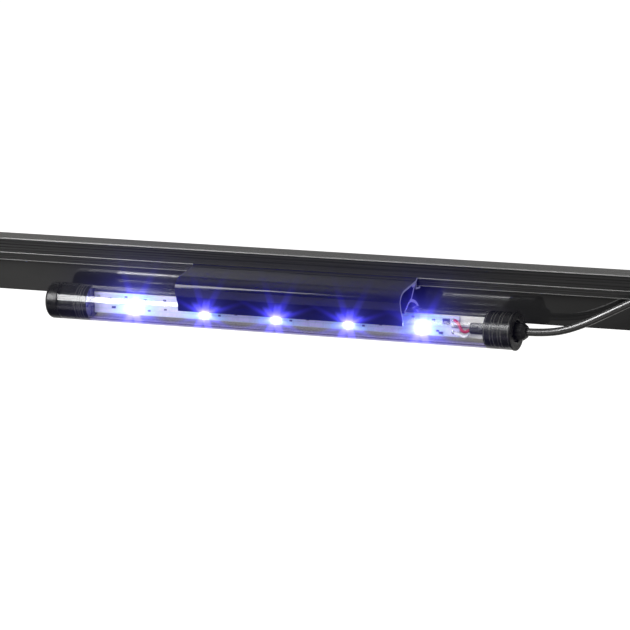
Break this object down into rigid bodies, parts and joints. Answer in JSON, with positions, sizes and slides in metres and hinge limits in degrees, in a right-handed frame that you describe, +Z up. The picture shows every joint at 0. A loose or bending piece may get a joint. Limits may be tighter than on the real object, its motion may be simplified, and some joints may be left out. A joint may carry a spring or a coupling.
{
  "type": "led aquarium light",
  "caption": "Clear sealed LED light tube held by a dark clip on an aquarium rail; it slides and turns, with its cord tied in a hank.",
  "frame": {"origin": "middle of the rail's underside, the flat face that rests on the aquarium's rims", "axes": "+X along the rail and the light tube towards the cable end, -Y out of the rail's front, where the tube hangs, +Z up"},
  "size_m": [0.8, 0.0741, 0.0821],
  "materials": {
    "rail_metal": "dark anodised, satin",
    "cap_plastic": "moulded, fine grain",
    "screw_steel": "plain",
    "shade_plastic": "dark tinted, polished",
    "cradle_plastic": "clear, polished",
    "tube_acrylic": "clear, polished",
    "plug_black": "turned, semi gloss",
    "ring_rubber": "smooth",
    "gland_plastic": "moulded",
    "board_white": "white solder mask",
    "tape_grey": "soft",
    "tray_white": "extruded",
    "led_case": "moulded",
    "led_resin": "clear resin",
    "chip_black": "moulded",
    "resistor_black": "moulded",
    "solder_tin": "bright",
    "wire_red": "insulation",
    "wire_white": "insulation",
    "wire_grey": "insulation",
    "cord_black": "smooth jacket",
    "tie_black": "strap",
    "barrel_metal": "nickel plated"
  },
  "bodies": {
    "rail": {"rail_profile": "rail_metal", "rail_end_cap_left": "cap_plastic", "rail_end_cap_right": "cap_plastic", "rail_cap_screws": "screw_steel"},
    "clip": {"clip_shade": "shade_plastic", "clip_cradle": "cradle_plastic"},
    "lead": {"cord_run": "cord_black", "cord_tail": "cord_black", "cord_hank": "cord_black", "hank_ties": "tie_black", "plug_boot": "cord_black", "plug_body": "gland_plastic", "plug_barrel": "barrel_metal", "plug_insulator": "chip_black"},
    "tube": {"clear_tube": "tube_acrylic", "end_plug_left": "plug_black", "end_plug_right": "plug_black", "o_rings_left": "ring_rubber", "o_rings_right": "ring_rubber", "gland_body": "gland_plastic", "gland_seal": "ring_rubber", "gland_nut": "gland_plastic", "led_board": "board_white", "thermal_tape": "tape_grey", "board_tray": "tray_white", "led_packages": "led_case", "led_windows": "led_resin", "smd_resistors": "resistor_black", "board_diodes": "chip_black", "driver_chip": "chip_black", "solder_joints": "solder_tin", "red_wire": "wire_red", "white_wire": "wire_white", "grey_wire": "wire_grey", "cable_inner_end": "cord_black"}
  },
  "joints": [
    {"name": "clip_slide", "type": "slide", "parent": "rail", "child": "clip", "axis": [1, 0, 0], "range_m": [-0.15, 0.03]},
    {"name": "tube_slide", "type": "slide", "parent": "clip", "child": "lead", "axis": [1, 0, 0], "range_m": [-0.06, 0.015]},
    {"name": "tube_turn", "type": "hinge", "parent": "lead", "child": "tube", "pos_m": [0, -0.0305, -0.0026], "axis": [1, 0, 0], "range_deg": [-90, 180]}
  ]
}
